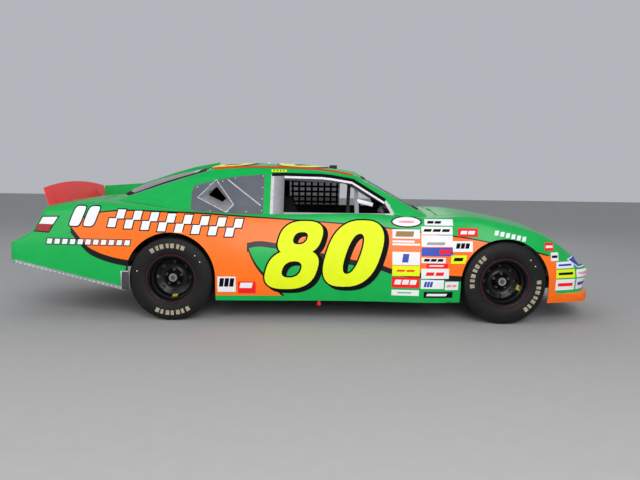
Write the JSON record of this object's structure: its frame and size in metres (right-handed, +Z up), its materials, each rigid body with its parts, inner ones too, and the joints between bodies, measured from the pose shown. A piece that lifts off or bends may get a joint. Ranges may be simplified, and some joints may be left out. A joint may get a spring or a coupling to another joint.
{
  "type": "stock race car",
  "caption": "Full-bodied oval-track stock car with closed steel body, race livery, steerable front wheels, and an opening hood and deck lid.",
  "frame": {"origin": "on the ground under the middle of the car's length and width", "axes": "+X forward, +Y to the car's left, +Z up"},
  "size_m": [5.124, 1.8842, 1.3518],
  "materials": {
    "green_paint": "gloss race paint",
    "orange_paint": "gloss race paint",
    "red_paint": "gloss",
    "grey_sheet": "satin sheet",
    "bright_sheet": "bare sheet",
    "window": "clear",
    "net": "woven webbing",
    "frame_black": "satin",
    "frame_grey": "satin",
    "cast_metal": "rough",
    "seat_grey": "brushed",
    "tyre_rubber": "matte slick",
    "rim_black": "gloss",
    "steel": "machined"
  },
  "bodies": {
    "chassis": {"nose": "green_paint", "front_valance": "orange_paint", "cowl": "green_paint", "fender_left": "green_paint", "fender_right": "green_paint", "door_left": "green_paint", "door_right": "green_paint", "quarter_left": "green_paint", "quarter_right": "green_paint", "tail": "green_paint", "filler_panel": "green_paint", "deck_fin": "green_paint", "roof": "green_paint", "posts": "green_paint", "fuel_filler": "bright_sheet", "windscreen": "window", "rear_window": "window", "quarter_sheets": "grey_sheet", "window_frames": "bright_sheet", "window_net": "net", "floor_pan": "frame_grey", "frame_rails": "frame_black", "roll_cage": "frame_grey", "engine": "cast_metal", "driveline": "cast_metal", "fuel_cell": "frame_black", "radiator": "bright_sheet", "dashboard": "frame_black", "seat": "seat_grey", "front_suspension": "frame_black"},
    "hood": {"hood": "green_paint"},
    "deck_lid": {"deck_lid": "green_paint", "spoiler": "red_paint"},
    "knuckle_left": {"knuckle_left": "cast_metal"},
    "knuckle_right": {"knuckle_right": "cast_metal"},
    "pitman_arm": {"pitman_arm": "steel"},
    "idler_arm": {"idler_arm": "steel"},
    "steering_link": {"steering_link": "steel"},
    "steering_wheel": {"steering_wheel": "frame_black"},
    "wheel_front_left": {"tyre_front_left": "tyre_rubber", "rim_front_left": "rim_black"},
    "wheel_front_right": {"tyre_front_right": "tyre_rubber", "rim_front_right": "rim_black"},
    "wheel_rear_left": {"tyre_rear_left": "tyre_rubber", "rim_rear_left": "rim_black"},
    "wheel_rear_right": {"tyre_rear_right": "tyre_rubber", "rim_rear_right": "rim_black"}
  },
  "joints": [
    {"name": "hood_hinge", "type": "hinge", "parent": "chassis", "child": "hood", "pos_m": [1.077, 0, 0.93324], "axis": [0, -1, 0], "range_deg": [0, 50]},
    {"name": "deck_lid_hinge", "type": "hinge", "parent": "chassis", "child": "deck_lid", "pos_m": [-1.797, 0, 1.01797], "axis": [0, 1, 0], "range_deg": [0, 50]},
    {"name": "steer_left", "type": "hinge", "parent": "chassis", "child": "knuckle_left", "pos_m": [1.632, 0.59, 0.351], "axis": [0, 0, 1], "range_deg": [-22, 22]},
    {"name": "steer_right", "type": "hinge", "parent": "chassis", "child": "knuckle_right", "pos_m": [1.632, -0.59, 0.351], "axis": [0, 0, 1], "range_deg": [-22, 22]},
    {"name": "pitman_turn", "type": "hinge", "parent": "chassis", "child": "pitman_arm", "pos_m": [1.632, 0.29, 0.255], "axis": [0, 0, 1], "range_deg": [-22, 22]},
    {"name": "idler_turn", "type": "hinge", "parent": "chassis", "child": "idler_arm", "pos_m": [1.632, -0.29, 0.255], "axis": [0, 0, 1], "range_deg": [-22, 22]},
    {"name": "link_turn", "type": "hinge", "parent": "knuckle_left", "child": "steering_link", "pos_m": [1.482, 0.59, 0.255], "axis": [0, 0, 1], "range_deg": [-22, 22]},
    {"name": "steering_wheel_turn", "type": "hinge", "parent": "chassis", "child": "steering_wheel", "pos_m": [0.43, 0.38, 0.8], "axis": [-0.9397, 0, 0.342], "range_deg": [-264, 264]},
    {"name": "spin_front_left", "type": "hinge", "parent": "knuckle_left", "child": "wheel_front_left", "pos_m": [1.632, 0.77, 0.351], "axis": [0, 1, 0], "continuous": true},
    {"name": "spin_front_right", "type": "hinge", "parent": "knuckle_right", "child": "wheel_front_right", "pos_m": [1.632, -0.77, 0.351], "axis": [0, 1, 0], "continuous": true},
    {"name": "spin_rear_left", "type": "hinge", "parent": "chassis", "child": "wheel_rear_left", "pos_m": [-1.162, 0.77, 0.351], "axis": [0, 1, 0], "continuous": true},
    {"name": "spin_rear_right", "type": "hinge", "parent": "chassis", "child": "wheel_rear_right", "pos_m": [-1.162, -0.77, 0.351], "axis": [0, 1, 0], "continuous": true}
  ],
  "couplings": [
    {"joint": "steer_right", "follows": "steer_left", "ratio": 1},
    {"joint": "pitman_turn", "follows": "steer_left", "ratio": 1},
    {"joint": "idler_turn", "follows": "steer_left", "ratio": 1},
    {"joint": "link_turn", "follows": "steer_left", "ratio": -1},
    {"joint": "steering_wheel_turn", "follows": "steer_left", "ratio": 12}
  ]
}
